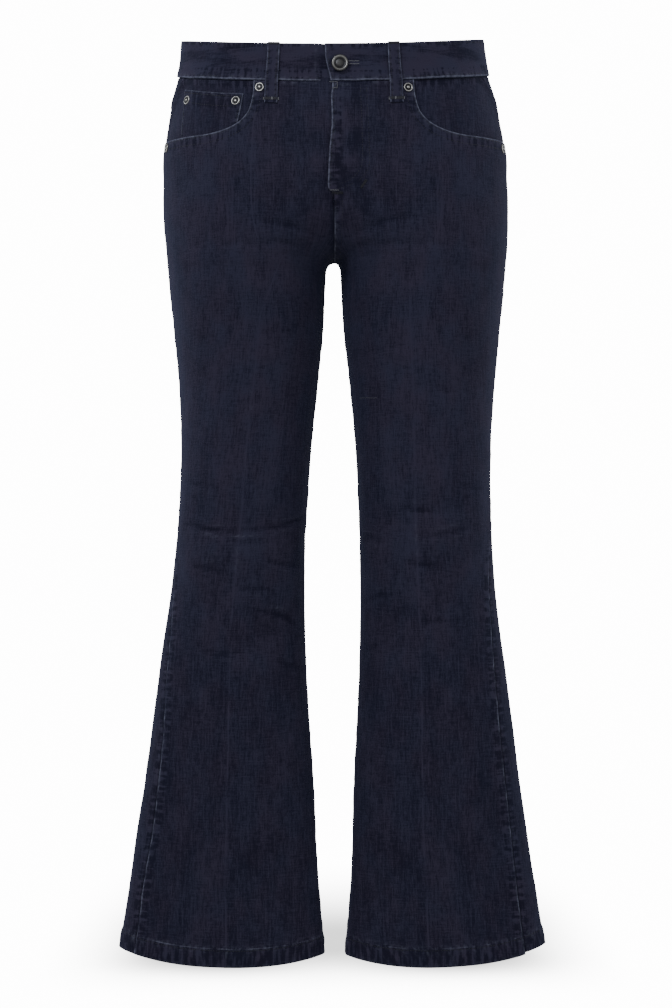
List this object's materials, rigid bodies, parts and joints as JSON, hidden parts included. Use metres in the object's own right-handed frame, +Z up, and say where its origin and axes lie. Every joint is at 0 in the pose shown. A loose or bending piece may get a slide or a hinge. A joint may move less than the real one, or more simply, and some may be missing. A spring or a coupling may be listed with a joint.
{
  "type": "bootcut jeans",
  "caption": "Dark indigo bootcut jeans, filled out and held at the waist, with flared open hems, curved front pockets, a lapped fly, belt loops and a plain metal button",
  "frame": {"origin": "middle of the waist, level with the waist's top edge at the sides", "axes": "+Z up, the front faces -Y, the wearer's left is +X"},
  "size_m": [0.4435, 0.2513, 0.9697],
  "materials": {
    "denim": "matt twill, very dark indigo",
    "band_denim": "matt twill, slightly rubbed",
    "dark_metal": "black oxide, worn bright on raised places"
  },
  "bodies": {
    "root": {"waistband": "band_denim", "front_panel_left": "denim", "front_panel_right": "denim", "back_panel_left": "denim", "back_panel_right": "denim", "yoke_left": "denim", "yoke_right": "denim", "pocket_facing_left": "denim", "pocket_facing_right": "denim", "coin_pocket": "denim", "back_pocket_left": "denim", "back_pocket_right": "denim", "belt_loop_front_left": "band_denim", "belt_loop_front_right": "band_denim", "belt_loop_back_left": "band_denim", "belt_loop_back_right": "band_denim", "belt_loop_centre": "band_denim", "rivet_pocket_left": "dark_metal", "rivet_pocket_right": "dark_metal", "rivet_coin_inner": "dark_metal", "rivet_coin_outer": "dark_metal", "rivet_side_left": "dark_metal", "rivet_side_right": "dark_metal", "waist_button": "dark_metal"}
  },
  "joints": []
}
